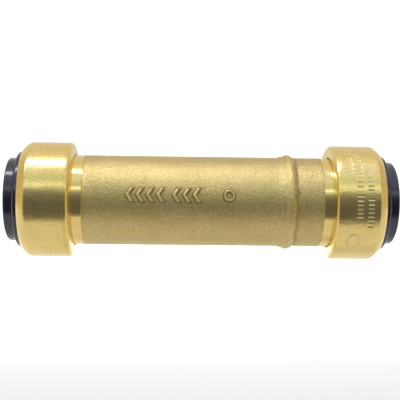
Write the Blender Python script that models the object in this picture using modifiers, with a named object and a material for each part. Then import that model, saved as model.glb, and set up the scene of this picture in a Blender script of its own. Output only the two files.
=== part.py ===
"""Push-fit slip coupling for 3/4 in copper-size tube, as an assembly of separate pieces.

The bore runs along X. The slip end is at -X: it has no tube stop near it, so the whole body slides over
the tube. The fixed end is at +X: its tube stops at the rib inside the raised bead. Both ends hold the
same pieces, modelled once with the mouth towards +X and turned round for the slip end. The origin is on
the bore's axis, half way along, and the marks cast on the body face -Y.

Places along the axis are distances from the origin towards the mouth, and radii are from the axis.
"""

import math

import bmesh
import bpy
from mathutils import Matrix

MM = 0.001
FACETS = 36  # flats round each turned piece

# Driving sizes
TUBE_RADIUS = 11.11 * MM  # 3/4 in copper tube is 22.2 mm across
COUPLING_LENGTH = 115.6 * MM  # from one release collar's end to the other's
CAP_RADIUS = 17.25 * MM
TUBE_STOP_PLACE = 27.0 * MM  # the face that the fixed end's tube rests on
PRESS_TRAVEL = 1.6 * MM  # how far a release collar presses in

# Clearances
GAP = 0.3 * MM  # between pieces that rest on each other
RUNNING_GAP = 0.25 * MM  # round a piece that fits, turns or slides in another
TUBE_GAP = 0.2 * MM  # round the tube in every bore that it passes

# Release collar
COLLAR_LENGTH = 9.8937 * MM
COLLAR_WALL = 1.18 * MM
COLLAR_STAND_OUT = 2.7 * MM  # how far it stands out of the support ring
COLLAR_EDGE = 0.5 * MM
COLLAR_LEAD_IN = 0.35 * MM
NOSE_LENGTH = 1.5 * MM
NOSE_WALL = 1.0 * MM
NOSE_EDGE = 0.25 * MM
BARB_HEIGHT = 0.6 * MM
BARB_LAND = 0.75 * MM

# End cap
CAP_WALL = 1.2 * MM
CAP_SET_BACK = 4.65 * MM  # from the collar's end to the cap's front
DOME_START = math.radians(65)  # from the axis to the dome's surface direction, at the side of the cap
DOME_END = math.radians(31)  # and at the mouth
DOME_EDGE = 0.15 * MM  # the small step of the rounded edge between the dome and the cap's side
ROLL_LENGTH = 1.95 * MM  # the skirt rolled in behind the body's shoulder
ROLL_EDGE = 0.3 * MM

# Support ring
SUPPORT_NOSE_WALL = 1.69 * MM
SUPPORT_NOSE_ROUND = 1.05 * MM
SUPPORT_SKIRT = 0.9 * MM  # its straight outside, from the dome to the grab ring
SUPPORT_CONE_DEPTH = 0.4 * MM
SUPPORT_CONE_RISE = 1.2 * MM

# Grab ring
TOOTH_COUNT = 12
NOSE_GAP = 0.4 * MM  # from the collar's nose to the teeth
SHEET = 0.5 * MM
TOOTH_BITE = 0.16 * MM  # how far a tooth's tip reaches inside the tube's surface
TOOTH_REST_ANGLE = math.radians(30)  # from the ring's own plane, towards the body
TOOTH_ROOT_WIDTH = 4.4 * MM
TOOTH_TIP_WIDTH = 3.8 * MM
TOOTH_TIP_CHAMFER = 0.2 * MM
ROOT_INSET = 1.5 * MM  # from the ring's outer edge to the line that a tooth bends on
RIM_WIDTH = 0.85 * MM

# Seal and its protector
SEAL_SECTION = 2.62 * MM
SEAL_STRETCH = 0.41 * MM  # how much smaller than the tube the free seal's hole is, on the radius
SEAL_STEPS = 8
PROTECTOR_WEB = 0.8 * MM
PROTECTOR_WALL = 0.3 * MM
PROTECTOR_RIM = 1.34 * MM  # from the grab ring's bending line to the protector's front
PROTECTOR_FOOT = 1.45 * MM

# Body
BODY_WALL = 2.19 * MM
BODY_MOUTH_WALL = 1.1 * MM
SHOULDER_LENGTH = 1.75 * MM
SHOULDER_SET_BACK = 1.31 * MM  # from the end of the seal's groove to the end of the shoulder
BEAD_HEIGHT = 0.8 * MM
BEAD_LAND_HEIGHT = 0.45 * MM
BEAD_LENGTH = 2.0 * MM
BEAD_RAMP = 1.5 * MM
BEAD_FALL = 0.85 * MM
STOP_RIB_LENGTH = 2.0 * MM
STOP_RIB_HEIGHT = 1.1 * MM

# Raised marks on the body: two rows of chevrons that point to the slip end, and a plain ring
MARK_TURN = math.radians(7)  # above the middle of the front
MARK_HEIGHT = 0.3 * MM
MARK_SINK = 0.5 * MM  # how far a mark is rooted in the wall
MARK_TALL = 3.9 * MM
CHEVRON_ROWS = ((-22.4 * MM, 4), (-8.9 * MM, 3))  # where each row starts, and how many it holds
CHEVRON_PITCH = 2.95 * MM
CHEVRON_DEPTH = 1.3 * MM
CHEVRON_STROKE = 1.0 * MM  # along the body
RING_PLACE = 7.6 * MM
RING_RADIUS = 1.6 * MM
RING_WALL = 0.6 * MM
RING_FACETS = 12

# Radii, from the tube outwards
BORE = TUBE_RADIUS + TUBE_GAP
BODY_RADIUS = BORE + BODY_WALL
COLLAR_RADIUS = BORE + COLLAR_WALL
NOSE_RADIUS = BORE + NOSE_WALL
BARB_RADIUS = COLLAR_RADIUS + BARB_HEIGHT
SUPPORT_BORE = COLLAR_RADIUS + RUNNING_GAP
SUPPORT_NOSE_RADIUS = SUPPORT_BORE + SUPPORT_NOSE_WALL
CAP_MOUTH = SUPPORT_NOSE_RADIUS + RUNNING_GAP
CAP_BORE = CAP_RADIUS - CAP_WALL
CAP_NECK = BODY_RADIUS + RUNNING_GAP
FIT_RADIUS = CAP_BORE - RUNNING_GAP  # what fills the cap's bore
RIM_RADIUS = FIT_RADIUS
ROOT_RADIUS = RIM_RADIUS - ROOT_INSET
TIP_RADIUS = TUBE_RADIUS - TOOTH_BITE
PROTECTOR_SEAT = FIT_RADIUS - BODY_MOUTH_WALL
PROTECTOR_RADIUS = PROTECTOR_SEAT - RUNNING_GAP
SEAL_RADIUS = TUBE_RADIUS - SEAL_STRETCH + SEAL_SECTION / 2  # of the circle at the middle of its section
SEAL_BORE = SEAL_RADIUS + SEAL_SECTION / 2 + GAP

# Places along the axis, from the mouth inwards
COLLAR_END = COUPLING_LENGTH / 2
CAP_FRONT = COLLAR_END - CAP_SET_BACK
SUPPORT_FRONT = COLLAR_END - COLLAR_STAND_OUT
NOSE_END = COLLAR_END - COLLAR_LENGTH
BARB_STEP = NOSE_END + NOSE_LENGTH + BARB_HEIGHT + BARB_LAND + GAP  # keeps the collar from falling out

# At rest the collar's nose just clears the teeth. Pressed in, it turns them to RELEASE_ANGLE
NOSE_ARM = ROOT_RADIUS - NOSE_RADIUS
NOSE_TO_ROOT = NOSE_ARM * math.tan(TOOTH_REST_ANGLE) - SHEET / 2 / math.cos(TOOTH_REST_ANGLE)
PRESSED = (NOSE_ARM, NOSE_TO_ROOT + PRESS_TRAVEL)
RELEASE_ANGLE = math.atan2(PRESSED[1], PRESSED[0]) + math.asin(SHEET / 2 / math.hypot(*PRESSED))
ROOT_PLACE = NOSE_END + NOSE_TO_ROOT - NOSE_GAP
BODY_MOUTH = ROOT_PLACE - SHEET / 2 - GAP
SUPPORT_REAR = ROOT_PLACE + SHEET / 2 + GAP

# The dome at the cap's front is an ellipse's arc from the mouth's edge to the cap's side. It is as deep as
# it takes to fit over the support ring's straight skirt
SUPPORT_DEPTH = CAP_WALL + RUNNING_GAP
DOME_SIDE = CAP_RADIUS - DOME_EDGE
DOME_RADIUS = (DOME_SIDE - CAP_MOUTH) / (math.sin(DOME_START) - math.sin(DOME_END))  # across the axis
DOME_MIDDLE = CAP_MOUTH - DOME_RADIUS * math.sin(DOME_END)


def dome_angle(depth, radius):
    """Where the dome's arc, at this depth below its surface, has this radius: in degrees from the axis."""
    return math.degrees(math.asin((radius - DOME_MIDDLE) / (DOME_RADIUS - depth)))


SKIRT_SLOPE = math.cos(math.radians(dome_angle(SUPPORT_DEPTH, FIT_RADIUS)))
DOME_ROOM = CAP_FRONT - SUPPORT_REAR - SUPPORT_SKIRT
DOME_RADII = ((DOME_ROOM - SUPPORT_DEPTH * SKIRT_SLOPE) / (math.cos(DOME_END) - SKIRT_SLOPE), DOME_RADIUS)
DOME_CENTRE = (CAP_FRONT - DOME_RADII[0] * math.cos(DOME_END), DOME_MIDDLE)

# The protector leaves room for the pressed teeth, and the seal lies behind it
TOOTH_LENGTH = (ROOT_RADIUS - TIP_RADIUS) / math.cos(TOOTH_REST_ANGLE)
TOOTH_REACH = TOOTH_LENGTH * math.sin(RELEASE_ANGLE) + SHEET / 2 * math.cos(RELEASE_ANGLE)
PROTECTOR_WEB_FRONT = ROOT_PLACE - TOOTH_REACH - GAP
PROTECTOR_REAR = PROTECTOR_WEB_FRONT - PROTECTOR_WEB
PROTECTOR_FRONT = ROOT_PLACE - PROTECTOR_RIM
PROTECTOR_STEP = PROTECTOR_REAR - GAP
SEAL_PLACE = PROTECTOR_STEP - SEAL_SECTION / 2
SEAL_GROOVE_END = SEAL_PLACE - SEAL_SECTION / 2 - GAP

# The body's shoulder lies behind the groove, and the cap's skirt is rolled in behind the shoulder
SHOULDER_END = SEAL_GROOVE_END - SHOULDER_SET_BACK
SHOULDER_START = SHOULDER_END + SHOULDER_LENGTH
CAP_REAR = SHOULDER_END - CAP_WALL - ROLL_EDGE


def clear_scene():
    for obj in list(bpy.data.objects):
        bpy.data.objects.remove(obj)


def collection_named(name):
    made = bpy.data.collections.new(name)
    bpy.context.scene.collection.children.link(made)
    return made


def material(name, colour, roughness, metallic):
    made = bpy.data.materials.new(name)
    made.use_nodes = True
    shader = made.node_tree.nodes["Principled BSDF"]
    shader.inputs["Base Color"].default_value = (*colour, 1)
    shader.inputs["Roughness"].default_value = roughness
    shader.inputs["Metallic"].default_value = metallic
    return made


def arc(centre, radii, start, end, steps):
    """Points of an ellipse's arc in a section, in degrees from the axis towards the outside."""
    points = []
    for step in range(steps + 1):
        angle = math.radians(start + (end - start) * step / steps)
        points.append((centre[0] + radii[0] * math.cos(angle), centre[1] + radii[1] * math.sin(angle)))
    return points


def dome(depth, low, high):
    """The dome's arc at this depth below its surface, from the radius high to the radius low."""
    radii = (DOME_RADII[0] - depth, DOME_RADII[1] - depth)
    return arc(DOME_CENTRE, radii, dome_angle(depth, high), dome_angle(depth, low), 4)


def turned_mesh(name, section):
    """A ring turned round X from its closed section of (place, radius) points, with smooth sides."""
    profile = bpy.data.meshes.new(f"{name}_profile")
    bm = bmesh.new()
    points = [bm.verts.new((place, 0, radius)) for place, radius in section]
    for point, following in zip(points, points[1:] + points[:1]):
        bm.edges.new((point, following))
    bm.to_mesh(profile)
    bm.free()
    turning = bpy.data.objects.new(f"{name}_profile", profile)
    helpers.objects.link(turning)
    screw = turning.modifiers.new("turn", "SCREW")
    screw.axis = "X"
    screw.angle = math.tau
    screw.steps = FACETS
    screw.render_steps = FACETS
    screw.use_merge_vertices = True
    screw.merge_threshold = 0.00001
    mesh = bpy.data.meshes.new_from_object(turning.evaluated_get(bpy.context.evaluated_depsgraph_get()))
    bpy.data.objects.remove(turning)
    mesh.name = name
    mesh.shade_smooth()
    mesh.set_sharp_from_angle(angle=math.radians(35))
    return mesh


def add_piece(name, mesh, finish, parent=None):
    obj = bpy.data.objects.new(name, mesh)
    coupling.objects.link(obj)
    obj.parent = parent
    if not mesh.materials:
        mesh.materials.append(finish)
    return obj


def end_cap_section():
    """A drawn cup with a domed front, whose skirt is rolled in behind the body's shoulder."""
    roll_radii = (ROLL_LENGTH, CAP_RADIUS - CAP_NECK)
    return [
        *dome(0, CAP_MOUTH, DOME_SIDE)[::-1],
        (DOME_CENTRE[0] + (CAP_FRONT - DOME_CENTRE[0]) / 3, CAP_RADIUS),
        *arc((CAP_REAR + ROLL_LENGTH, CAP_NECK), roll_radii, 90, 180, 4),
        (SHOULDER_END - GAP, CAP_NECK),
        (SHOULDER_START - GAP, CAP_BORE),
        *dome(CAP_WALL, CAP_MOUTH, CAP_BORE),
    ]


def support_ring_section():
    """Guides the release collar, backs the teeth, and shows in front of the cap as a rounded nose."""
    barb_room = BARB_RADIUS + RUNNING_GAP
    nose_centre = (SUPPORT_FRONT - SUPPORT_NOSE_ROUND, SUPPORT_NOSE_RADIUS - SUPPORT_NOSE_ROUND)
    return [
        (SUPPORT_FRONT, SUPPORT_BORE),
        *arc(nose_centre, (SUPPORT_NOSE_ROUND, SUPPORT_NOSE_ROUND), 0, 90, 3),
        *dome(SUPPORT_DEPTH, SUPPORT_NOSE_RADIUS, FIT_RADIUS)[::-1],
        (SUPPORT_REAR, FIT_RADIUS),
        (SUPPORT_REAR, barb_room + SUPPORT_CONE_RISE),
        (SUPPORT_REAR - SUPPORT_CONE_DEPTH, barb_room),
        (BARB_STEP, barb_room),
        (BARB_STEP, SUPPORT_BORE),
    ]


def release_collar_section():
    """A sleeve that slides in the support ring. Its nose pushes the teeth off the tube."""
    barb_front = BARB_STEP - GAP
    edge_centre = (COLLAR_END - COLLAR_EDGE, COLLAR_RADIUS - COLLAR_EDGE)
    nose_centre = (NOSE_END + NOSE_EDGE, NOSE_RADIUS - NOSE_EDGE)
    return [
        (COLLAR_END, BORE + COLLAR_LEAD_IN),
        *arc(edge_centre, (COLLAR_EDGE, COLLAR_EDGE), 0, 90, 3),
        (barb_front, COLLAR_RADIUS),
        (barb_front, BARB_RADIUS),
        (barb_front - BARB_LAND, BARB_RADIUS),
        (NOSE_END + NOSE_LENGTH, NOSE_RADIUS),
        *arc(nose_centre, (NOSE_EDGE, NOSE_EDGE), 90, 180, 2),
        (NOSE_END, BORE + COLLAR_LEAD_IN),
        (NOSE_END + COLLAR_LEAD_IN, BORE),
        (COLLAR_END - COLLAR_LEAD_IN, BORE),
    ]


def grab_rim_section():
    """The flat outer ring of the grab ring, held between the body's mouth and the support ring."""
    low, high = ROOT_PLACE - SHEET / 2, ROOT_PLACE + SHEET / 2
    inner = RIM_RADIUS - RIM_WIDTH
    return [(high, RIM_RADIUS), (low, RIM_RADIUS), (low, inner), (high, inner)]


def seal_protector_section():
    """Keeps the teeth off the seal. Its hollow cone leaves room for the teeth when they are pressed open."""
    return [
        (PROTECTOR_FRONT, PROTECTOR_RADIUS - PROTECTOR_WALL),
        (PROTECTOR_FRONT, PROTECTOR_RADIUS),
        (PROTECTOR_REAR, PROTECTOR_RADIUS),
        (PROTECTOR_REAR, BORE),
        (PROTECTOR_WEB_FRONT, BORE),
        (PROTECTOR_WEB_FRONT, ROOT_RADIUS - PROTECTOR_FOOT),
    ]


def seal_section():
    section = SEAL_SECTION / 2
    return arc((SEAL_PLACE, SEAL_RADIUS), (section, section), 0, 360 - 360 / SEAL_STEPS, SEAL_STEPS - 1)


def socket_inside():
    """The body's steps from the bore out to one mouth: seal groove, protector's seat and mouth."""
    return [
        (SEAL_GROOVE_END, BORE),
        (SEAL_GROOVE_END, SEAL_BORE),
        (PROTECTOR_STEP, SEAL_BORE),
        (PROTECTOR_STEP, PROTECTOR_SEAT),
        (BODY_MOUTH, PROTECTOR_SEAT),
        (BODY_MOUTH, FIT_RADIUS),
        (SHOULDER_START, FIT_RADIUS),
        (SHOULDER_END, BODY_RADIUS),
    ]


def bead():
    """The raised bead over the tube stop, from the slip side: a ramp, a low land, the bead and its fall."""
    top = BODY_RADIUS + BEAD_HEIGHT
    land = BODY_RADIUS + BEAD_LAND_HEIGHT
    start = TUBE_STOP_PLACE - STOP_RIB_LENGTH / 2 - BEAD_LENGTH / 2
    return [
        (start - BEAD_RAMP, BODY_RADIUS),
        (start - BEAD_RAMP / 2, land),
        (start, top - BEAD_HEIGHT / 6),
        (start + BEAD_LENGTH / 2, top),
        (start + BEAD_LENGTH, top - BEAD_HEIGHT / 4),
        (start + BEAD_LENGTH + BEAD_FALL, BODY_RADIUS),
    ]


def body_section():
    """Slip socket, outside with its bead, fixed socket, and the bore with its stop rib."""
    slip_socket = [(-place, radius) for place, radius in socket_inside()]
    rib = BORE - STOP_RIB_HEIGHT
    return [
        *socket_inside(),
        *reversed(bead()),
        *reversed(slip_socket),
        (TUBE_STOP_PLACE - STOP_RIB_LENGTH, BORE),
        (TUBE_STOP_PLACE - STOP_RIB_LENGTH, rib),
        (TUBE_STOP_PLACE, rib),
        (TUBE_STOP_PLACE, BORE),
    ]


def add_outline(curve, points):
    spline = curve.splines.new("POLY")
    spline.points.add(len(points) - 1)
    for corner, (along, up) in zip(spline.points, points):
        corner.co = (along, up, 0, 1)
    spline.use_cyclic_u = True


def ring_of(place, radius):
    angles = [math.tau * k / RING_FACETS for k in range(RING_FACETS)]
    return [(place + radius * math.cos(angle), radius * math.sin(angle)) for angle in angles]


def body_marks():
    """Cast marks: rows of chevrons that point to the slip end, and a plain ring."""
    curve = bpy.data.curves.new("body_marks", "CURVE")
    curve.dimensions = "2D"
    curve.fill_mode = "BOTH"
    curve.extrude = (MARK_HEIGHT + MARK_SINK) / 2
    up = MARK_TALL / 2
    for row_start, count in CHEVRON_ROWS:
        for number in range(count):
            tip = row_start + number * CHEVRON_PITCH
            back = tip + CHEVRON_DEPTH
            front_side = [(back, up), (tip, 0), (back, -up)]
            back_side = [(along + CHEVRON_STROKE, side) for along, side in reversed(front_side)]
            add_outline(curve, front_side + back_side)
    add_outline(curve, ring_of(RING_PLACE, RING_RADIUS))
    add_outline(curve, ring_of(RING_PLACE, RING_RADIUS - RING_WALL))
    outlines = bpy.data.objects.new("body_marks", curve)
    helpers.objects.link(outlines)
    mesh = bpy.data.meshes.new_from_object(outlines.evaluated_get(bpy.context.evaluated_depsgraph_get()))
    bpy.data.objects.remove(outlines)
    bm = bmesh.new()
    bm.from_mesh(mesh)
    bmesh.ops.remove_doubles(bm, verts=bm.verts, dist=0.00001)
    bmesh.ops.recalc_face_normals(bm, faces=bm.faces)
    bm.to_mesh(mesh)
    bm.free()
    marks = bpy.data.objects.new("body_marks", mesh)
    helpers.objects.link(marks)
    marks.matrix_world = (
        Matrix.Rotation(math.pi / 2 - MARK_TURN, 4, "X")
        @ Matrix.Translation((0, 0, BODY_RADIUS + (MARK_HEIGHT - MARK_SINK) / 2))
    )
    marks.hide_render = True
    marks.display_type = "WIRE"
    return marks


def tooth_mesh():
    """One leaf of the grab ring in its own frame: it bends about Y at the origin, and lies along -Z."""
    bm = bmesh.new()
    bmesh.ops.create_cube(bm, size=1)
    for corner in bm.verts:
        tip = corner.co.z < 0
        corner.co.x *= SHEET
        corner.co.y *= TOOTH_TIP_WIDTH if tip else TOOTH_ROOT_WIDTH
        corner.co.z = -TOOTH_LENGTH if tip else 0
    tip_edges = [
        edge for edge in bm.edges if all(v.co.z < -TOOTH_LENGTH / 2 and v.co.x > 0 for v in edge.verts)
    ]
    bmesh.ops.bevel(bm, geom=tip_edges, offset=TOOTH_TIP_CHAMFER, segments=1, affect="EDGES")
    mesh = bpy.data.meshes.new("tooth")
    bm.to_mesh(mesh)
    bm.free()
    return mesh


def add_teeth(end, mesh, parent):
    for number in range(TOOTH_COUNT):
        tooth = add_piece(f"{end}_grab_tooth_{number + 1:02d}", mesh, spring_steel, parent)
        tooth.matrix_local = (
            Matrix.Rotation(math.tau * number / TOOTH_COUNT, 4, "X")
            @ Matrix.Translation((ROOT_PLACE, 0, ROOT_RADIUS))
            @ Matrix.Rotation(TOOTH_REST_ANGLE, 4, "Y")
        )


def frame_of(end, turn):
    """An empty whose +X points out of this end's mouth."""
    empty = bpy.data.objects.new(end, None)
    coupling.objects.link(empty)
    empty.rotation_euler.z = turn
    return empty


clear_scene()
coupling = collection_named("push_fit_coupling")
helpers = collection_named("helpers")

cast_brass = material("cast_brass", (0.62, 0.47, 0.20), 0.5, 1.0)
polished_brass = material("polished_brass", (0.83, 0.64, 0.27), 0.18, 1.0)
navy_plastic = material("navy_plastic", (0.012, 0.014, 0.035), 0.3, 0.0)
spring_steel = material("spring_steel", (0.62, 0.62, 0.60), 0.28, 1.0)
seal_rubber = material("seal_rubber", (0.015, 0.015, 0.015), 0.55, 0.0)
grey_plastic = material("grey_plastic", (0.35, 0.35, 0.34), 0.4, 0.0)

body = add_piece("coupling_body", turned_mesh("coupling_body", body_section()), cast_brass)
raise_marks = body.modifiers.new("marks", "BOOLEAN")
raise_marks.operation = "UNION"
raise_marks.object = body_marks()

END_PIECES = (
    ("end_cap", turned_mesh("end_cap", end_cap_section()), polished_brass),
    ("support_ring", turned_mesh("support_ring", support_ring_section()), navy_plastic),
    ("release_collar", turned_mesh("release_collar", release_collar_section()), navy_plastic),
    ("grab_ring_rim", turned_mesh("grab_ring_rim", grab_rim_section()), spring_steel),
    ("seal_protector", turned_mesh("seal_protector", seal_protector_section()), grey_plastic),
    ("seal", turned_mesh("seal", seal_section()), seal_rubber),
)
leaf = tooth_mesh()
for end, turn in (("slip", math.pi), ("fixed", 0.0)):
    frame = frame_of(f"{end}_end", turn)
    for piece, mesh, finish in END_PIECES:
        add_piece(f"{end}_{piece}", mesh, finish, frame)
    add_teeth(end, leaf, frame)
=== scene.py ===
"""A push-fit slip coupling for 3/4 in tube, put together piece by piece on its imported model."""

import math

import bpy
from mathutils import Matrix, Vector, noise


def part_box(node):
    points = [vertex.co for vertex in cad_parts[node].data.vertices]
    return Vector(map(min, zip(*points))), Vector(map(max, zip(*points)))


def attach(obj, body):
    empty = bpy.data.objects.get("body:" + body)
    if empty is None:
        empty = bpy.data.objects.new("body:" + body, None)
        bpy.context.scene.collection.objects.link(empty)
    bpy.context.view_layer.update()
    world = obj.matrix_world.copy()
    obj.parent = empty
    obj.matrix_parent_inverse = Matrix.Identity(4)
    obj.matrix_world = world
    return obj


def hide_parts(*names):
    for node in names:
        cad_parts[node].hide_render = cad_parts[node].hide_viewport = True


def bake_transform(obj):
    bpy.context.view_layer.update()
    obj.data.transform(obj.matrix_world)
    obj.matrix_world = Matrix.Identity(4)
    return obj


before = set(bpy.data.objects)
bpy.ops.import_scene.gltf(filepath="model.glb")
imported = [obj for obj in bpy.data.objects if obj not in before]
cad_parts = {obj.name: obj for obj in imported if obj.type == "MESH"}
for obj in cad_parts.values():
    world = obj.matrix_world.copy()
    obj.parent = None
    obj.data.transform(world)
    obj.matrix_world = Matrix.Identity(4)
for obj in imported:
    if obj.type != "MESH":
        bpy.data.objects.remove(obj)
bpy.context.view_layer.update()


# Cast body. One brass casting, blasted to a matte grain, with a raised bead over the inner tube stop and
# marks cast on its front. A lathe has bored it, and turned the two necks that the end caps close on.
MM = 0.001
BORE_RADIUS = 11.31 * MM
BODY_RADIUS = 13.5 * MM
SOCKET_RADIUS = 15.8 * MM
SHOULDER = (39.40 * MM, 41.15 * MM)  # where the turned neck ends, and where the socket's own width starts
BODY_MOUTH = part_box("coupling_body")[1][0]
SEAL_GROOVE = (40.71 * MM, 43.63 * MM, 13.62 * MM)  # two ends and radius
PROTECTOR_SEAT = 14.7 * MM
STOP_RIB = (25.0 * MM, 27.0 * MM, 10.21 * MM)  # two ends and radius
NECK_ENDS, NECK_MARGIN = (-35.2 * MM, 35.5 * MM), 0.2 * MM  # between these the skin is as cast
CAST_DEPTH = 0.1 * MM  # points less deep than this under the skin belong to it
BODY_PITCH = 0.6 * MM
BEAD = (  # place and height, mm
    (22.7, 0), (23.1, 0.2), (23.6, 0.3), (24.2, 0.36), (24.6, 0.5), (25.0, 0.72), (25.4, 0.84), (25.8, 0.86),
    (26.2, 0.8), (26.6, 0.64), (27.0, 0.4), (27.3, 0.18), (27.55, 0.02), (27.8, -0.05), (28.2, 0),
)
# Painted shade in the bead's ramp, more faintly, and in its valley, and a painted highlight on its crest: place,
# reach, strength.
BEAD_RAMP, BEAD_RAMP_SHADE_REACH, RAMP_FAINTER = 24.3 * MM, 0.4 * MM, 0.6
BEAD_VALLEY, BEAD_VALLEY_SHADE_REACH, VALLEY_PAINTED_SHADE = 27.6 * MM, 0.95 * MM, 0.72
BEAD_CREST, BEAD_CREST_HIGHLIGHT_REACH, CREST_HIGHLIGHT = 25.7 * MM, 0.6 * MM, 0.6
VALLEY_WANDER = 0.45 * MM
BEAD_LUMPS, LUMP_HEIGHT, LUMP_REACH = 2.1 * MM, 0.34 * MM, 1.5  # the reach is in widths of the valley's dark
SKIN_WAVES, SKIN_WAVE_HEIGHT = 4 * MM, 0.09 * MM
MARKS_START, MARKS_END, MARKS_PITCH = -24.0 * MM, 10.6 * MM, 0.16 * MM
MARKS_ARC, MARKS_ARC_STEPS, PLAIN_ARC_STEPS = math.radians(22), 34, 130
MARK_TURN = math.radians(7)
MARK_HALF_TALL = 1.95 * MM
MARK_HEIGHT = 0.6 * MM
MARK_EDGE = 0.22 * MM
# Painted highlight on a mark's top, from this far inside its edge; painted shade round its foot, strongest this
# far outside its edge and reaching this far.
MARK_HIGHLIGHT_INSET = 0.12 * MM
MARK_FOOT, MARK_FOOT_SHADE_REACH = 0.2 * MM, 0.38 * MM
CHEVRON_PITCH = 2.95 * MM
CHEVRON_STARTS = [
    first + CHEVRON_PITCH * k for first, count in ((-22.4 * MM, 4), (-8.9 * MM, 3)) for k in range(count)
]
CHEVRON_DEPTH, CHEVRON_STROKE = 1.3 * MM, 0.95 * MM
RING_MARK = (7.6 * MM, 1.3 * MM, 0.6 * MM)  # place, radius and stroke
MERGE = 0.002 * MM


def start_edit(obj):
    """Only this object is selected, and it is in edit mode."""
    if bpy.context.mode != "OBJECT":
        bpy.ops.object.mode_set(mode="OBJECT")
    bpy.ops.object.select_all(action="DESELECT")
    obj.select_set(True)
    bpy.context.view_layer.objects.active = obj
    bpy.ops.object.mode_set(mode="EDIT")
    bpy.ops.mesh.select_mode(type="VERT")


def select_points(obj, wanted):
    """In edit mode: selects the points whose place passes the test."""
    bpy.ops.object.mode_set(mode="OBJECT")
    for part in (obj.data.vertices, obj.data.edges, obj.data.polygons):
        part.foreach_set("select", [False] * len(part))
    for point in obj.data.vertices:
        point.select = wanted(point.co)
    bpy.ops.object.mode_set(mode="EDIT")


def draw_section(name, points):
    """The closed outline of a turned piece, in the plane over its axis.

    Each point is (place, radius), or (place, radius, rounding) where the corner is rounded.
    """
    bpy.ops.object.select_all(action="DESELECT")
    bpy.ops.mesh.primitive_plane_add(size=MM)
    obj = bpy.context.object
    obj.name = obj.data.name = name
    start_edit(obj)
    bpy.ops.mesh.merge(type="CENTER")
    at = Vector((points[0][0], 0, points[0][1]))
    bpy.ops.transform.translate(value=at)
    for point in [*points[1:], points[0]]:
        step = Vector((point[0], 0, point[1])) - at
        bpy.ops.mesh.extrude_vertices_move(TRANSFORM_OT_translate={"value": step})
        at += step
    bpy.ops.mesh.select_all(action="SELECT")
    bpy.ops.mesh.remove_doubles(threshold=MERGE)
    for rounding in sorted({point[2] for point in points if len(point) > 2}):
        corners = [Vector((p[0], 0, p[1])) for p in points if len(p) > 2 and p[2] == rounding]
        select_points(obj, lambda co: any((co - corner).length < 0.01 * MM for corner in corners))
        bpy.ops.mesh.bevel(offset=rounding, segments=4, affect="VERTICES")
    return obj


def spin_section(obj, turns=((math.tau, 144),)):
    """Spins the outline round X, in one or more arcs of (angle, steps) that together make a full turn."""
    bpy.ops.mesh.select_all(action="SELECT")
    for angle, steps in turns:
        bpy.ops.mesh.spin(steps=steps, angle=angle, center=(0, 0, 0), axis=(1, 0, 0))
    bpy.ops.mesh.select_all(action="SELECT")
    bpy.ops.mesh.remove_doubles(threshold=MERGE)
    bpy.ops.mesh.normals_make_consistent(inside=False)
    bpy.ops.object.mode_set(mode="OBJECT")
    bpy.ops.object.shade_smooth_by_angle(angle=math.radians(40))
    return obj


def spaced(start, end, pitch):
    count = max(1, round(abs(end - start) / pitch))
    return [start + (end - start) * k / count for k in range(count + 1)]


def socket_outline():
    """One socket of the body, from the bore out to the shoulder."""
    groove_end, groove_front, groove_radius = SEAL_GROOVE
    return [
        (groove_end, BORE_RADIUS, 0.15 * MM),
        (groove_end, groove_radius, 0.1 * MM),
        (groove_front, groove_radius, 0.1 * MM),
        (groove_front, PROTECTOR_SEAT, 0.1 * MM),
        (BODY_MOUTH, PROTECTOR_SEAT, 0.1 * MM),
        (BODY_MOUTH, SOCKET_RADIUS, 0.2 * MM),
        (SHOULDER[1], SOCKET_RADIUS, 0.3 * MM),
        (SHOULDER[0], BODY_RADIUS, 0.3 * MM),
    ]


def mark_distance(along, up):
    """How far this point of the unrolled front lies outside the nearest cast mark, negative inside it."""
    centre, radius, wall = RING_MARK
    best = abs(math.hypot(along - centre, up) - radius) - wall / 2
    slope = MARK_HALF_TALL / math.hypot(MARK_HALF_TALL, CHEVRON_DEPTH)
    for start in CHEVRON_STARTS:
        middle = start + CHEVRON_STROKE / 2 + abs(up) / MARK_HALF_TALL * CHEVRON_DEPTH
        arm = abs(along - middle) * slope - CHEVRON_STROKE * slope / 2
        best = min(best, max(arm, abs(up) - MARK_HALF_TALL))
    return best


bead_outline = [(x * MM, BODY_RADIUS + up * MM) for x, up in BEAD]
outside = [(x, BODY_RADIUS) for x in spaced(NECK_ENDS[0], MARKS_START, BODY_PITCH)]
outside += [(x, BODY_RADIUS) for x in spaced(MARKS_START, MARKS_END, MARKS_PITCH)[1:]]
outside += [(x, BODY_RADIUS) for x in spaced(MARKS_END, bead_outline[0][0], BODY_PITCH)[1:-1]]
outside += bead_outline
outside += [(x, BODY_RADIUS) for x in spaced(bead_outline[-1][0], NECK_ENDS[1], BODY_PITCH)[1:]]
slip_outline = [(-point[0], *point[1:]) for point in socket_outline()]
body = draw_section("cast_body", [
    *socket_outline(),
    *reversed(outside),
    *reversed(slip_outline),
    (STOP_RIB[0], BORE_RADIUS, 0.1 * MM),
    (STOP_RIB[0], STOP_RIB[2], 0.15 * MM),
    (STOP_RIB[1], STOP_RIB[2], 0.15 * MM),
    (STOP_RIB[1], BORE_RADIUS, 0.1 * MM),
])
bpy.ops.mesh.select_all(action="SELECT")
bpy.ops.transform.rotate(
    value=-(math.pi / 2 - MARK_TURN) + MARKS_ARC / 2, orient_axis="X", center_override=(0, 0, 0)
)
spin_section(body, ((-MARKS_ARC, MARKS_ARC_STEPS), (MARKS_ARC - math.tau, PLAIN_ARC_STEPS)))


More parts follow.
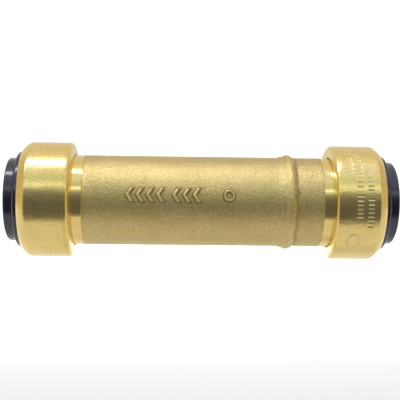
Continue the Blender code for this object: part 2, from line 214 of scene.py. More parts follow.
def raise_by_group(obj, group, strength, texture=None):
    """Pushes out the points of a group, by its weights, along their normals."""
    push = obj.modifiers.new(group, "DISPLACE")
    push.vertex_group = group
    push.strength = strength
    push.mid_level = 0.5 if texture else 0
    if texture:
        push.texture = texture
        push.texture_coords = "LOCAL"
    bpy.context.view_layer.objects.active = obj
    bpy.ops.object.modifier_apply(modifier=push.name)


def near(distance, reach):
    """1 at no distance, down to 0 at this reach and beyond it."""
    return max(0, 1 - abs(distance) / reach)


def add_clouds(name, size, depth):
    """Soft unevenness, with swells about this size."""
    clouds = bpy.data.textures.new(name, "CLOUDS")
    clouds.noise_scale, clouds.noise_depth = size, depth
    return clouds


painted_shade_and_highlight = [0.0] * len(body.data.vertices)  # -1 in the painted shade at the foot of a mark, 1 in the painted highlight on its top
skin = body.vertex_groups.new(name="cast_skin")
marks = body.vertex_groups.new(name="cast_marks")
bead_edge = body.vertex_groups.new(name="bead_edge")
for point in body.data.vertices:
    x, y, z = point.co
    radius = math.hypot(y, z)
    if radius < BODY_RADIUS - CAST_DEPTH or not NECK_ENDS[0] + NECK_MARGIN < x < NECK_ENDS[1] - NECK_MARGIN:
        continue
    skin.add([point.index], 1, "REPLACE")
    from_valley = x + noise.noise(point.co / BEAD_LUMPS) * VALLEY_WANDER - BEAD_VALLEY
    # Painted shade in the bead's valley and, fainter, in its ramp; painted highlight on its crest.
    dark = max(near(from_valley, BEAD_VALLEY_SHADE_REACH), near(x - BEAD_RAMP, BEAD_RAMP_SHADE_REACH) - RAMP_FAINTER)
    painted_shade_and_highlight[point.index] = near(x - BEAD_CREST, BEAD_CREST_HIGHLIGHT_REACH) * CREST_HIGHLIGHT - dark * VALLEY_PAINTED_SHADE
    lumpy = near(from_valley, LUMP_REACH * BEAD_VALLEY_SHADE_REACH)
    if lumpy > 0:
        bead_edge.add([point.index], lumpy, "REPLACE")
    if MARKS_START < x < MARKS_END and y < 0:
        up = (math.atan2(z, -y) - MARK_TURN) * BODY_RADIUS
        outside_by = mark_distance(x, up)
        # Painted highlight on the mark's top, painted shade round its foot.
        painted_shade_and_highlight[point.index] = 1 if outside_by < -MARK_HIGHLIGHT_INSET else -near(outside_by - MARK_FOOT, MARK_FOOT_SHADE_REACH)
        rise = 0.5 - outside_by / MARK_EDGE
        if rise > 0:
            rise = min(rise, 1)
            marks.add([point.index], rise * rise * (3 - 2 * rise), "REPLACE")
raise_by_group(body, "cast_marks", MARK_HEIGHT)
raise_by_group(body, "cast_skin", SKIN_WAVE_HEIGHT, add_clouds("unevenness", SKIN_WAVES, 2))
raise_by_group(body, "bead_edge", LUMP_HEIGHT, add_clouds("lumps", BEAD_LUMPS, 1))
body.data.attributes.new("painted_shading", "FLOAT", "POINT").data.foreach_set("value", painted_shade_and_highlight)
bpy.ops.object.shade_smooth_by_angle(angle=math.radians(50))


class Value:
    """A number that changes over a surface. Arithmetic on it adds the Math nodes."""

    def __init__(self, nodes, socket):
        self.nodes, self.socket = nodes, socket

    def math(self, operation, *others):
        return self.nodes.node("ShaderNodeMath", {"operation": operation}, dict(enumerate([self, *others])))

    def __add__(self, other):
        return self.math("ADD", other)

    def __mul__(self, other):
        return self.math("MULTIPLY", other)

    def __rsub__(self, other):
        return self.nodes.node("ShaderNodeMath", {"operation": "SUBTRACT"}, {0: other, 1: self})

    __radd__, __rmul__ = __add__, __mul__

    def over(self, low, high):
        """0 below low, 1 above high, and smooth between them. It falls instead if low is above high."""
        settings = {"interpolation_type": "SMOOTHSTEP"}
        if low > high:
            return 1 - self.nodes.node("ShaderNodeMapRange", settings, {0: self, 1: high, 2: low})
        return self.nodes.node("ShaderNodeMapRange", settings, {0: self, 1: low, 2: high})


class Nodes:
    """A node tree, with the one way that nodes are added to it."""

    def __init__(self, tree):
        self.tree = tree

    def node(self, kind, settings=None, inputs=None, output=0):
        made = self.tree.nodes.new(kind)
        for key, value in (settings or {}).items():
            if key == "stops":
                stops = made.color_ramp.elements
                stops.remove(stops[1])
                for number, (position, shade) in enumerate(value):
                    stop = stops.new(position) if number else stops[0]
                    stop.position, stop.color = position, shade
            else:
                setattr(made, key, value)
        for key, value in (inputs or {}).items():
            if isinstance(value, Value):
                self.tree.links.new(value.socket, made.inputs[key])
            else:
                made.inputs[key].default_value = value
        return Value(self, made.outputs[output])

    def blend(self, factor, colour_a, colour_b):
        settings = {"data_type": "RGBA"}
        return self.node("ShaderNodeMix", settings, {"Factor": factor, 6: colour_a, 7: colour_b}, output=2)


class Finish(Nodes):
    """A material: one Principled shader, with constants on its own sockets and patterns linked to a few."""

    def __init__(self, name, **constants):
        self.material = bpy.data.materials.new(name)
        self.material.use_nodes = True
        super().__init__(self.material.node_tree)
        self.shader = self.tree.nodes["Principled BSDF"]
        for socket, value in constants.items():
            self.shader.inputs[socket.replace("_", " ")].default_value = value
        self.place = self.node("ShaderNodeTexCoord", output="Object")

    def noise(self, scale, detail=3, roughness=0.5, stretch=(1, 1, 1)):
        """Noise in features per millimetre, about 0.5 on average."""
        where = self.node("ShaderNodeMapping", inputs={"Vector": self.place, "Scale": stretch})
        settings = {"Vector": where, "Scale": scale / MM, "Detail": detail, "Roughness": roughness}
        return self.node("ShaderNodeTexNoise", inputs=settings)

    def along(self, axis):
        return self.node("ShaderNodeSeparateXYZ", inputs={0: self.place}, output=axis)

    def link(self, **patterns):
        for socket, value in patterns.items():
            self.tree.links.new(value.socket, self.shader.inputs[socket.replace("_", " ")])

    def bump(self, height, depth, normal=None):
        inputs = {"Height": height, "Strength": 1.0, "Distance": depth}
        if normal:
            inputs["Normal"] = normal
        return self.node("ShaderNodeBump", inputs=inputs)


def colour(red, green, blue):
    return (red, green, blue, 1)


def dress(obj, finish, body_name, slot, *nodes):
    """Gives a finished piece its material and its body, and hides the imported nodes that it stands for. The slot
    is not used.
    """
    obj.data.materials.clear()
    obj.data.materials.append(finish.material)
    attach(obj, body_name)
    if nodes:
        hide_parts(*nodes)


cast_brass = Finish("cast_brass", Metallic=1.0, IOR=1.5)
x_place = cast_brass.along(0)
y_place, z_place = cast_brass.along(1), cast_brass.along(2)
from_axis = (y_place * y_place + z_place * z_place).math("SQRT")
skin_mask = x_place.over(NECK_ENDS[0] - 0.05 * MM, NECK_ENDS[0] + 0.15 * MM)
skin_mask = skin_mask * x_place.over(NECK_ENDS[1] + 0.05 * MM, NECK_ENDS[1] - 0.15 * MM)
skin_mask = skin_mask * from_axis.over(13.0 * MM, 13.2 * MM)
grain = cast_brass.noise(2.6, 4, 0.62)
pits = cast_brass.noise(1.1, 3, 0.5)
patches = cast_brass.noise(0.11, 4, 0.6)
tool_lines = cast_brass.noise(1.0, 3, 0.6, (9, 0.02, 0.02))
tool_steps = cast_brass.noise(1.0, 2, 0.5, (2.2, 0.02, 0.02))
tint = cast_brass.blend(patches.over(0.35, 0.65), colour(0.695, 0.53, 0.213), colour(0.77, 0.60, 0.26))
tint = cast_brass.blend(grain.over(0.62, 0.3), tint, colour(0.53, 0.39, 0.155))
painted_shading = cast_brass.node("ShaderNodeAttribute", {"attribute_name": "painted_shading"}, output=2)
# Painted shade: where the attribute is below 0, darkened towards a deep brown.
tint = cast_brass.blend((painted_shading * -0.75).over(0, 1), tint, colour(0.20, 0.135, 0.05))
# Painted highlight: where the attribute is above 0, lightened towards pale brass.
tint = cast_brass.blend((painted_shading * 0.8).over(0, 1), tint, colour(0.92, 0.72, 0.34))
turned_tint = cast_brass.blend(tool_lines, colour(0.86, 0.63, 0.22), colour(0.93, 0.71, 0.28))
grain_normal = cast_brass.bump(grain * skin_mask + pits * skin_mask * 0.7, 0.175 * MM)
lines_normal = cast_brass.bump((tool_lines * 0.3 + tool_steps) * (1 - skin_mask), 0.03 * MM, grain_normal)
cast_brass.link(
    Base_Color=cast_brass.blend(skin_mask, turned_tint, tint),
    Roughness=skin_mask * (0.18 + patches * 0.08) + 0.1 + tool_lines * 0.07,
    Normal=lines_normal,
)
dress(body, cast_brass, "fitting", "cast_brass", "coupling_body")


# End caps. Each is drawn from brass sheet, domed at the mouth, polished, and closed on the body by rolling
# its skirt in behind the shoulder. The rolling leaves a fine line round the slip end's cap. The fixed end's
# cap has three etched rows and a ring.
CAP_RADIUS = 17.25 * MM
CAP_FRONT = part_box("fixed_end_cap")[1][0]
FRONT_DRAWN, FRONT_FULLER = 0.55 * MM, 0.12 * MM  # how far the front is beyond the plain dome, along and out
CYLINDER_END = 50.6 * MM
ROLLS = {  # place and radius, mm, from the cylinder to the neck: the fixed end's skirt is rolled flatter
    "slip": (
        (39.95, 17.25), (39.85, 17.13), (39.65, 17.13), (39.55, 17.22), (39.4, 17.2), (39.05, 17.05),
        (38.8, 16.83), (38.6, 16.5), (38.45, 16.05), (38.3, 15.4), (38.15, 14.6), (38.05, 13.95),
    ),
    "fixed": (
        (39.75, 17.25), (39.3, 17.2), (38.95, 17.08), (38.65, 16.85), (38.45, 16.5), (38.35, 16.1),
        (38.3, 15), (38.3, 13.95),
    ),
}
CAP_MOUTH = 14.68 * MM
CAP_BORE = 16.05 * MM
CAP_NECK = 13.75 * MM
CAP_WALL = 1.2 * MM
SKIRT_INSIDE, CAP_SHOULDER, LIP_BACK = 39.1 * MM, 40.85 * MM, 51.76 * MM
DOME_CENTRE = (47.84 * MM, 11.49 * MM)
DOME_RADII = (6.19 * MM, 6.185 * MM)
ETCH_START, ETCH_END, ETCH_PITCH = 41.6 * MM, 50.0 * MM, 0.14 * MM
ETCH_DEPTH, ETCH_EDGE = 0.08 * MM, 0.12 * MM
ETCH_ARC = (math.radians(-62), math.radians(72))  # round the cap, from its front upwards
ETCH_REACH = 12 * MM  # no etching lies farther back than this
ETCH_ARC_STEPS, PLAIN_CAP_STEPS, WHOLE_CAP_STEPS = 300, 120, 192
BAR_PITCH, BAR_WIDTH = 1.3 * MM, 0.42 * MM
ETCHED_ROWS = (  # place, first and last round the cap from the front, height, every how many is left out
    (48.25 * MM, -8.2 * MM, 11 * MM, 1.8 * MM, 8),
    (45.1 * MM, -5.8 * MM, 17 * MM, 1.8 * MM, 7),
    (42.5 * MM, 8 * MM, 20 * MM, 1.7 * MM, 6),
)
ETCHED_RING = (43.7 * MM, -12.5 * MM, 2.8 * MM, 1.85 / 2.8, 0.6 * MM)  # place, turn, radius, squash, line


def dome(depth, start, end, steps):
    """The dome's curve at this depth under its surface, between two angles from the axis, in degrees."""
    points = []
    for step in range(steps + 1):
        angle = math.radians(start + (end - start) * step / steps)
        points.append((
            DOME_CENTRE[0] + (DOME_RADII[0] - depth) * math.cos(angle),
            DOME_CENTRE[1] + (DOME_RADII[1] - depth) * math.sin(angle),
        ))
    return points


def cap_outline(roll):
    """One cap's section. The roll behind it runs from the cylinder to the neck."""
    return [
        (CAP_FRONT + FRONT_DRAWN, CAP_MOUTH, 0.2 * MM),
        *[(x + FRONT_DRAWN, r + FRONT_FULLER) for x, r in dome(0, 36, 62, 14)],
        (CYLINDER_END + FRONT_DRAWN / 2, CAP_RADIUS, 0.3 * MM),
        *[(x, CAP_RADIUS) for x in spaced(ETCH_END, ETCH_START, ETCH_PITCH)],
        *[(x * MM, r * MM) for x, r in roll],
        (roll[-1][0] * MM, CAP_NECK, 0.1 * MM),
        (SKIRT_INSIDE, CAP_NECK, 0.1 * MM),
        (CAP_SHOULDER, CAP_BORE, 0.2 * MM),
        *dome(CAP_WALL, 64, 41, 8),
        (LIP_BACK, CAP_MOUTH, 0.1 * MM),
    ]


def etch_distance(along, around):
    """How far this point of the unrolled cap lies outside the nearest etched line, negative inside it."""
    centre_x, centre_around, radius, squash, line = ETCHED_RING
    best = abs(math.hypot((along - centre_x) / squash, around - centre_around) - radius) - line / 2
    for row_x, first, last, tall, skips in ETCHED_ROWS:
        number = round((around - first) / BAR_PITCH)
        if first - BAR_PITCH / 2 < around < last and number % skips:
            across = abs(around - first - number * BAR_PITCH) - BAR_WIDTH / 2
            best = min(best, max(across, abs(along - row_x) - tall / 2))
    return best


def turn_end_for_end(obj):
    """Turns a finished piece half round Z, for the slip end, with its place kept in its mesh."""
    obj.data.transform(Matrix.Rotation(math.pi, 4, "Z"))


polished_brass = Finish("polished_brass", Metallic=1.0, IOR=1.5)
buffing = polished_brass.noise(1.0, 4, 0.65, (6, 0.05, 0.05))
cloudy = polished_brass.noise(0.16, 4, 0.6)
peel = polished_brass.noise(1.4, 5, 0.72, (0.7, 1.4, 1.4))
ripple = polished_brass.noise(0.35, 3, 0.5, (0.5, 1.5, 1.5))
polish_normal = polished_brass.bump(ripple, 0.05 * MM, polished_brass.bump(peel, 0.028 * MM))
cap_tint = polished_brass.blend(cloudy.over(0.3, 0.7), colour(0.88, 0.655, 0.235), colour(0.93, 0.72, 0.28))
polished_brass.link(
    Base_Color=polished_brass.blend(peel.over(0.48, 0.7), cap_tint, colour(0.76, 0.535, 0.165)),
    Roughness=0.13 + buffing * 0.08 + cloudy * 0.06,
    Normal=polished_brass.bump(buffing, 0.006 * MM, polish_normal),
)
etched_brass = Finish("etched_brass", Metallic=1.0, IOR=1.5)
frost = etched_brass.noise(5, 3, 0.6)
etched_brass.link(
    Base_Color=etched_brass.blend(frost, colour(0.72, 0.56, 0.27), colour(0.84, 0.69, 0.38)),
    Roughness=0.42 + frost * 0.15,
    Normal=etched_brass.bump(frost, 0.02 * MM),
)
etched_arc = ETCH_ARC[1] - ETCH_ARC[0]
CAP_ARCS = {
    "fixed": ((-etched_arc, ETCH_ARC_STEPS), (etched_arc - math.tau, PLAIN_CAP_STEPS)),
    "slip": ((-math.tau, WHOLE_CAP_STEPS),),
}
for end, arcs in CAP_ARCS.items():
    cap = draw_section(f"{end}_end_cap_brass", cap_outline(ROLLS[end]))
    bpy.ops.mesh.select_all(action="SELECT")
    bpy.ops.transform.rotate(value=-(math.pi / 2 + ETCH_ARC[0]), orient_axis="X", center_override=(0, 0, 0))
    spin_section(cap, arcs)
    dress(cap, polished_brass, "fitting", "polished_brass", f"{end}_end_cap")
    if end == "slip":
        turn_end_for_end(cap)
        continue
    etched = cap.vertex_groups.new(name="etched")
    depth_at = {}
    for point in cap.data.vertices:
        x, y, z = point.co
        if ETCH_START < x < ETCH_END and y < ETCH_REACH and math.hypot(y, z) > CAP_RADIUS - 0.05 * MM:
            around = math.atan2(z, -y) * CAP_RADIUS
            depth_at[point.index] = min(1, max(0, 0.5 - etch_distance(x, around) / ETCH_EDGE))
            if depth_at[point.index] > 0:
                etched.add([point.index], depth_at[point.index], "REPLACE")
    raise_by_group(cap, "etched", -ETCH_DEPTH)
    cap.data.materials.append(etched_brass.material)
    for face in cap.data.polygons:
        if sum(depth_at.get(index, 0) for index in face.vertices) / len(face.vertices) > 0.6:
            face.material_index = 1


# Support rings. Each is moulded in dark navy plastic and pressed into its cap. Its rounded nose stands out
# of the cap's mouth round the collar, and its inner end backs the grab ring.
SUPPORT_BORE = 12.74 * MM
SUPPORT_NOSE = 14.43 * MM
SUPPORT_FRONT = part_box("fixed_support_ring")[1][0]
SUPPORT_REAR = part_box("fixed_support_ring")[0][0]
BARB_ROOM = 13.34 * MM
BARB_STEP = 51.056 * MM
LEAD_IN = (0.4 * MM, 1.2 * MM)  # along and across, at the rear of the barb's room
NOSE_ROUNDING = 1.05 * MM
NOSE_UNDER_DOME = 1.45 * MM

navy_plastic = Finish("navy_plastic", Metallic=0.0, IOR=1.53, Specular_IOR_Level=0.8)
speckle = navy_plastic.noise(3.0, 3, 0.6)
flow = navy_plastic.noise(0.25, 4, 0.6)
scuffs = navy_plastic.noise(1.0, 3, 0.6, (4, 0.25, 0.25))
navy_plastic.link(
    Base_Color=navy_plastic.blend(flow, colour(0.002, 0.002, 0.021), colour(0.004, 0.005, 0.036)),
    Roughness=0.14 + scuffs.over(0.55, 0.8) * 0.15 + flow * 0.08,
    Normal=navy_plastic.bump(speckle * 0.5 + scuffs, 0.008 * MM),
)
for end in ("fixed", "slip"):
    ring = draw_section(f"{end}_support_ring_plastic", [
        (SUPPORT_FRONT, SUPPORT_BORE, 0.2 * MM),
        (SUPPORT_FRONT, SUPPORT_NOSE, NOSE_ROUNDING),
        *dome(NOSE_UNDER_DOME, 38, 65, 6),
        (SUPPORT_REAR, SOCKET_RADIUS, 0.15 * MM),
        (SUPPORT_REAR, BARB_ROOM + LEAD_IN[1]),
        (SUPPORT_REAR - LEAD_IN[0], BARB_ROOM),
        (BARB_STEP, BARB_ROOM, 0.1 * MM),
        (BARB_STEP, SUPPORT_BORE, 0.1 * MM),
    ])
    spin_section(ring)
    if end == "slip":
        turn_end_for_end(ring)
    dress(ring, navy_plastic, "fitting", "navy_plastic", f"{end}_support_ring")


# Release collars. Each is a moulded sleeve of the same navy plastic, free to slide in its support ring. A
# barb keeps it in, and its nose pushes the grab ring's teeth off the tube.
COLLAR_RADIUS = 12.49 * MM
COLLAR_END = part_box("fixed_release_collar")[1][0]
NOSE_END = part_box("fixed_release_collar")[0][0]
NOSE_RADIUS, NOSE_LENGTH = 12.31 * MM, 1.5 * MM
BARB_RADIUS, BARB_GAP, BARB_LENGTH = 13.09 * MM, 0.3 * MM, 0.75 * MM

for end in ("fixed", "slip"):
    collar = draw_section(f"{end}_release_collar_plastic", [
        (COLLAR_END, BORE_RADIUS, 0.4 * MM),
        (COLLAR_END, COLLAR_RADIUS, 0.54 * MM),
        (BARB_STEP - BARB_GAP, COLLAR_RADIUS, 0.1 * MM),
        (BARB_STEP - BARB_GAP, BARB_RADIUS, 0.1 * MM),
        (BARB_STEP - BARB_GAP - BARB_LENGTH, BARB_RADIUS, 0.2 * MM),
        (NOSE_END + NOSE_LENGTH, NOSE_RADIUS, 0.2 * MM),
        (NOSE_END, NOSE_RADIUS, 0.25 * MM),
        (NOSE_END, BORE_RADIUS, 0.35 * MM),
    ])
    spin_section(collar)
    if end == "slip":
        turn_end_for_end(collar)
    dress(collar, navy_plastic, f"{end}_collar", "navy_plastic", f"{end}_release_collar")


# Grab rings. Each is stamped from springy stainless sheet: a flat rim, and twelve leaves bent in towards
# the body, whose tips bite the tube.
SHEET = 0.5 * MM
ROOT_PLACE = 48.3665 * MM
ROOT_RADIUS = 14.3 * MM
RIM_RADIUS = 15.8 * MM
RIM_BORE = ROOT_RADIUS + 0.4 * MM
LEAF_START = ROOT_RADIUS + 0.1 * MM
LEAF_FLAT = 0.7 * MM  # the straight stretch from the bend up into the rim
LEAF_LENGTH = 3.868 * MM
LEAF_REST = math.radians(30)
LEAF_COUNT = 12
LEAF_WIDTHS = (4.5 * MM, 4.4 * MM, 3.8 * MM)  # at the rim, at the root and at the tip
BEND_STEPS, BEND_STEP, BLADE_STEPS = 5, 0.1 * MM, 4

spring_steel = Finish("spring_steel", Metallic=1.0, IOR=1.5)
rolling = spring_steel.noise(1.0, 3, 0.6, (1.5, 8, 8))
stain = spring_steel.noise(0.4, 3, 0.6)
spring_steel.link(
    Base_Color=spring_steel.blend(stain, colour(0.55, 0.54, 0.52), colour(0.68, 0.67, 0.65)),
    Roughness=0.22 + rolling * 0.12,
    Normal=spring_steel.bump(rolling, 0.003 * MM),
)


def add_leaf(name):
    """A leaf from the rim to its tip, with a round bend at the root, standing at the top of the ring."""
    bpy.ops.object.select_all(action="DESELECT")
    bpy.ops.mesh.primitive_plane_add(size=1)
    leaf = bpy.context.object
    leaf.name = leaf.data.name = name
    start_edit(leaf)
    bpy.ops.transform.rotate(value=math.pi / 2, orient_axis="Y", center_override=(0, 0, 0))
    bpy.ops.transform.resize(value=(1, LEAF_WIDTHS[0], LEAF_FLAT), center_override=(0, 0, 0))
    bpy.ops.transform.translate(value=(ROOT_PLACE, 0, LEAF_START + LEAF_FLAT / 2))
    blade_step = (LEAF_LENGTH - BEND_STEPS * BEND_STEP / 2) / BLADE_STEPS
    at = Vector((ROOT_PLACE, 0, LEAF_START))
    width = LEAF_WIDTHS[0]
    select_points(leaf, lambda co: abs(co.z - LEAF_START) < 0.02 * MM)
    bpy.ops.mesh.select_mode(type="EDGE")
    for number, length in enumerate([BEND_STEP] * BEND_STEPS + [blade_step] * BLADE_STEPS):
        lean = LEAF_REST * min(1, (number + 0.5) / BEND_STEPS)
        step = Vector((-math.sin(lean) * length, 0, -math.cos(lean) * length))
        bpy.ops.mesh.extrude_region_move(TRANSFORM_OT_translate={"value": step})
        at += step
        travelled = max(0, number - BEND_STEPS + 1) / BLADE_STEPS
        wanted = LEAF_WIDTHS[1] + (LEAF_WIDTHS[2] - LEAF_WIDTHS[1]) * travelled
        bpy.ops.transform.resize(value=(1, wanted / width, 1), center_override=at)
        width = wanted
    bpy.ops.object.mode_set(mode="OBJECT")
    wall = leaf.modifiers.new("sheet", "SOLIDIFY")
    wall.thickness, wall.offset = SHEET, 0
    soft = leaf.modifiers.new("soft", "BEVEL")
    soft.width, soft.segments, soft.limit_method = 0.06 * MM, 2, "ANGLE"
    soft.angle_limit = math.radians(40)
    for modifier in ("sheet", "soft"):
        bpy.ops.object.modifier_apply(modifier=modifier)
    start_edit(leaf)
    bpy.ops.mesh.select_all(action="SELECT")
    bpy.ops.mesh.normals_make_consistent(inside=False)
    bpy.ops.object.mode_set(mode="OBJECT")
    bpy.ops.object.shade_smooth_by_angle(angle=math.radians(35))
    return leaf


first_leaf = add_leaf("leaf_pattern")
for end in ("fixed", "slip"):
    rim = draw_section(f"{end}_grab_ring_steel", [
        (ROOT_PLACE + SHEET / 2, RIM_RADIUS, 0.08 * MM),
        (ROOT_PLACE - SHEET / 2, RIM_RADIUS, 0.08 * MM),
        (ROOT_PLACE - SHEET / 2, RIM_BORE, 0.08 * MM),
        (ROOT_PLACE + SHEET / 2, RIM_BORE, 0.08 * MM),
    ])
    spin_section(rim)
    turned_end = Matrix.Rotation(math.pi if end == "slip" else 0, 4, "Z")
    rim.data.transform(turned_end)
    dress(rim, spring_steel, f"{end}_grab_ring", "spring_steel", f"{end}_grab_ring_rim")
    for number in range(LEAF_COUNT):
        round_axis = Matrix.Rotation(math.tau * number / LEAF_COUNT, 4, "X")
        leaf = first_leaf.copy()
        leaf.data = first_leaf.data.copy()
        leaf.name = leaf.data.name = f"{end}_grab_ring_leaf_{number + 1:02d}"
        bpy.context.scene.collection.objects.link(leaf)
        leaf.data.transform(turned_end @ round_axis)
        leaf.data.materials.append(spring_steel.material)
        tooth = f"{end}_tooth_{number + 1:02d}"
        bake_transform(leaf)
        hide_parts(f"{end}_grab_{tooth[len(end) + 1:]}")
bpy.data.objects.remove(first_leaf)


# Seals and their protectors. A black moulded O-ring lies greased in each socket's groove, and a plastic
# washer with a hollow cone keeps the teeth off it.
SEAL_PLACE, SEAL_RADIUS, SEAL_HALF_SECTION = 42.3248 * MM, 12.01 * MM, 1.31 * MM
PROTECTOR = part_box("fixed_seal_protector")
PROTECTOR_RADIUS, PROTECTOR_RIM = 14.45 * MM, 0.3 * MM
WEB_FRONT, CONE_INSIDE = 44.7348 * MM, 12.85 * MM
FLASH_HALF_WIDTH, FLASH_HEIGHT = 0.02 * MM, 0.04 * MM

seal_rubber = Finish("seal_rubber", Metallic=0.0, IOR=1.5)
grease = seal_rubber.noise(0.5, 3, 0.6)
seal_rubber.link(
    Base_Color=seal_rubber.blend(grease, colour(0.010, 0.010, 0.011), colour(0.022, 0.022, 0.022)),
    Roughness=0.3 + grease * 0.3,
    Normal=seal_rubber.bump(seal_rubber.noise(4, 3, 0.6), 0.01 * MM),
)
grey_plastic = Finish("grey_plastic", Metallic=0.0, IOR=1.47)
mottle = grey_plastic.noise(0.4, 3, 0.6)
grey_plastic.link(
    Base_Color=grey_plastic.blend(mottle, colour(0.33, 0.33, 0.32), colour(0.40, 0.40, 0.38)),
    Roughness=0.35 + mottle * 0.15,
    Normal=grey_plastic.bump(grey_plastic.noise(3, 3, 0.6), 0.01 * MM),
)
for end, side in (("fixed", 1), ("slip", -1)):
    bpy.ops.object.select_all(action="DESELECT")
    bpy.ops.mesh.primitive_torus_add(
        major_radius=SEAL_RADIUS, minor_radius=SEAL_HALF_SECTION, major_segments=120, minor_segments=28,
        location=(side * SEAL_PLACE, 0, 0), rotation=(0, math.pi / 2, 0),
    )
    seal = bpy.context.object
    seal.name = seal.data.name = f"{end}_seal_rubber"
    # The mould's parting line leaves a faint flash round the inside and the outside.
    flash = seal.vertex_groups.new(name="flash")
    flash.add([v.index for v in seal.data.vertices if abs(v.co.z) < FLASH_HALF_WIDTH], 1, "REPLACE")
    raise_by_group(seal, "flash", FLASH_HEIGHT)
    bpy.ops.object.transform_apply(location=True, rotation=True, scale=True)
    bpy.ops.object.shade_smooth()
    dress(seal, seal_rubber, "fitting", "seal_rubber", f"{end}_seal")
    protector = draw_section(f"{end}_seal_protector_plastic", [
        (PROTECTOR[1][0], PROTECTOR_RADIUS - PROTECTOR_RIM, 0.1 * MM),
        (PROTECTOR[1][0], PROTECTOR_RADIUS, 0.1 * MM),
        (PROTECTOR[0][0], PROTECTOR_RADIUS, 0.2 * MM),
        (PROTECTOR[0][0], BORE_RADIUS, 0.2 * MM),
        (WEB_FRONT, BORE_RADIUS, 0.2 * MM),
        (WEB_FRONT, CONE_INSIDE, 0.2 * MM),
    ])
    spin_section(protector)
    if end == "slip":
        turn_end_for_end(protector)
    dress(protector, grey_plastic, "fitting", "grey_plastic", f"{end}_seal_protector")


# Studio. The coupling is held over a pale sweep, in a white light tent with a long softbox overhead and a
# gap in the tent round the lens. Only the lens sees the sweep's wide surround.
FLOOR_DROP, SURROUND_GAP = 90 * MM, 0.5 * MM
FLOOR_SIZE, SURROUND_SIZE = 2.6, 30
FLOOR_BACK = FLOOR_SIZE / 2 - 0.1
# The sweep's finish glows with painted light: none within 0.7 m of the middle, rising to pale grey by 3.5 m.
pale = Finish("pale_sweep", Base_Color=colour(0.72, 0.715, 0.70), Roughness=0.7, Emission_Strength=1.0)
floor_x, floor_y = pale.along(0), pale.along(1)
glow_far_out = (floor_x * floor_x + floor_y * floor_y).math("SQRT").over(0.7, 3.5)
pale.link(Emission_Color=pale.blend(glow_far_out, colour(0, 0, 0), colour(0.6, 0.6, 0.6)))
for name, size, middle, drop in (
    ("pale_floor", FLOOR_SIZE, FLOOR_BACK, FLOOR_DROP),
    ("pale_surround", SURROUND_SIZE, 0, FLOOR_DROP + SURROUND_GAP),
):
    bpy.ops.object.select_all(action="DESELECT")
    bpy.ops.mesh.primitive_plane_add(size=size, location=(0, middle, -drop))
    floor = bpy.context.object
    floor.name = floor.data.name = name
    bpy.ops.object.transform_apply(location=True)
    floor.data.materials.append(pale.material)
floor.visible_glossy = floor.visible_diffuse = floor.visible_shadow = False

world = bpy.data.worlds.new("light_tent")
bpy.context.scene.world = world
world.use_nodes = True
tent = Nodes(world.node_tree)
direction = tent.node("ShaderNodeTexCoord", output="Generated")
across, depth, height = [
    tent.node("ShaderNodeSeparateXYZ", inputs={0: direction}, output=axis) for axis in range(3)
]
turn = height.math("ARCTAN2", depth * -1)
round_bore = tent.node("ShaderNodeMapRange", inputs={0: turn, 1: -math.pi, 2: math.pi})
COOL, CLEAR = (0.97, 1.04, 1.22), (0.98, 1.05, 1.4)
WARM, GREENISH = (1, 0.97, 0.92), (0.97, 1.1, 1.08)
TENT = (  # degrees round the bore, from the lens upwards; brightness; tint
    (-180, 0.66, WARM), (-46, 0.66, WARM), (-40, 0.24, WARM), (-33, 0.12, COOL), (-5, 0.125, COOL),
    (4, 0.16, COOL), (12, 0.22, COOL), (19, 0.36, COOL), (25, 0.7, GREENISH), (28, 1.4, GREENISH),
    (31.5, 1.4, GREENISH), (35, 0.64, GREENISH), (40, 0.62, GREENISH), (47, 0.72, GREENISH),
    (55, 0.85, GREENISH), (63, 0.82, CLEAR), (73, 0.8, CLEAR), (82, 0.85, CLEAR), (86, 0.9, CLEAR),
    (93, 0.88, WARM), (104, 0.76, WARM), (118, 0.74, WARM), (180, 0.8, WARM),
)
BRIGHTEST, SEEN_WHITE = 1.6, 1.2
SIDE_WALLS = colour(0.62 / BRIGHTEST, 0.56 / BRIGHTEST, 0.42 / BRIGHTEST)
stops = [
    ((degrees + 180) / 360, colour(*[min(1, brightness * part / BRIGHTEST) for part in tint]))
    for degrees, brightness, tint in TENT
]
walls = tent.node("ShaderNodeValToRGB", {"stops": stops}, {0: round_bore})
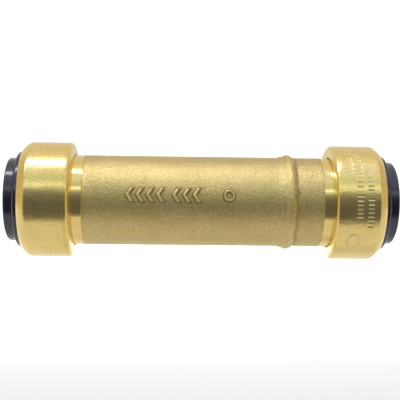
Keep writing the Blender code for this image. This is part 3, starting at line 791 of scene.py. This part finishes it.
walls = tent.blend(across.math("ABSOLUTE").over(0.58, 0.8), walls, SIDE_WALLS)
glow = tent.node("ShaderNodeBackground", inputs={0: walls, 1: BRIGHTEST})
seen = tent.node("ShaderNodeBackground", inputs={0: colour(1, 1, 1), 1: SEEN_WHITE})
to_lens = tent.node("ShaderNodeLightPath", output="Is Camera Ray")
mixed = tent.node("ShaderNodeMixShader", inputs={0: to_lens, 1: glow, 2: seen})
tent.tree.links.new(mixed.socket, tent.tree.nodes["World Output"].inputs[0])


def add_softbox(name, place, lean, size, watts):
    """A rectangular lamp overhead, turned by this many degrees to face the lens's side."""
    bpy.ops.object.light_add(type="AREA", location=place, rotation=(math.radians(-lean), 0, 0))
    lamp = bpy.context.object
    lamp.name = name
    lamp.data.shape = "RECTANGLE"
    lamp.data.size, lamp.data.size_y = size
    lamp.data.energy = watts
    return lamp


strip_light = add_softbox("strip_light", (-0.33, -0.22, 0.97), 12.8, (0.9, 0.11), 3.9)
strip_light.data.color = (0.94, 0.97, 1.0)
backdrop_light = add_softbox("backdrop_light", (0, 1.3, 0.8), 0, (2.5, 1.8), 28)
backdrop_light.data.spread = math.radians(80)
backdrop_light.visible_glossy = False

CAMERA_DISTANCE = 249.5 * MM
CAMERA_AZIMUTH = math.radians(-2.1)
CAMERA_ROLL = math.radians(0.665)
LENS, SENSOR, LENS_SHIFT = 73.6, 36, (-0.0035, 0.00275)
camera = bpy.data.objects.new("camera", bpy.data.cameras.new("camera"))
bpy.context.scene.collection.objects.link(camera)
camera.data.lens, camera.data.sensor_width = LENS, SENSOR
back = Vector((math.sin(CAMERA_AZIMUTH), -math.cos(CAMERA_AZIMUTH), 0))
camera.location = back * CAMERA_DISTANCE
aim = back.to_track_quat("Z", "Y").to_matrix() @ Matrix.Rotation(CAMERA_ROLL, 3, "Z")
camera.rotation_euler = aim.to_euler()
camera.data.shift_x, camera.data.shift_y = LENS_SHIFT
camera.data.clip_start = 10 * MM
bpy.context.scene.camera = camera
bpy.context.scene.view_settings.view_transform = "Standard"
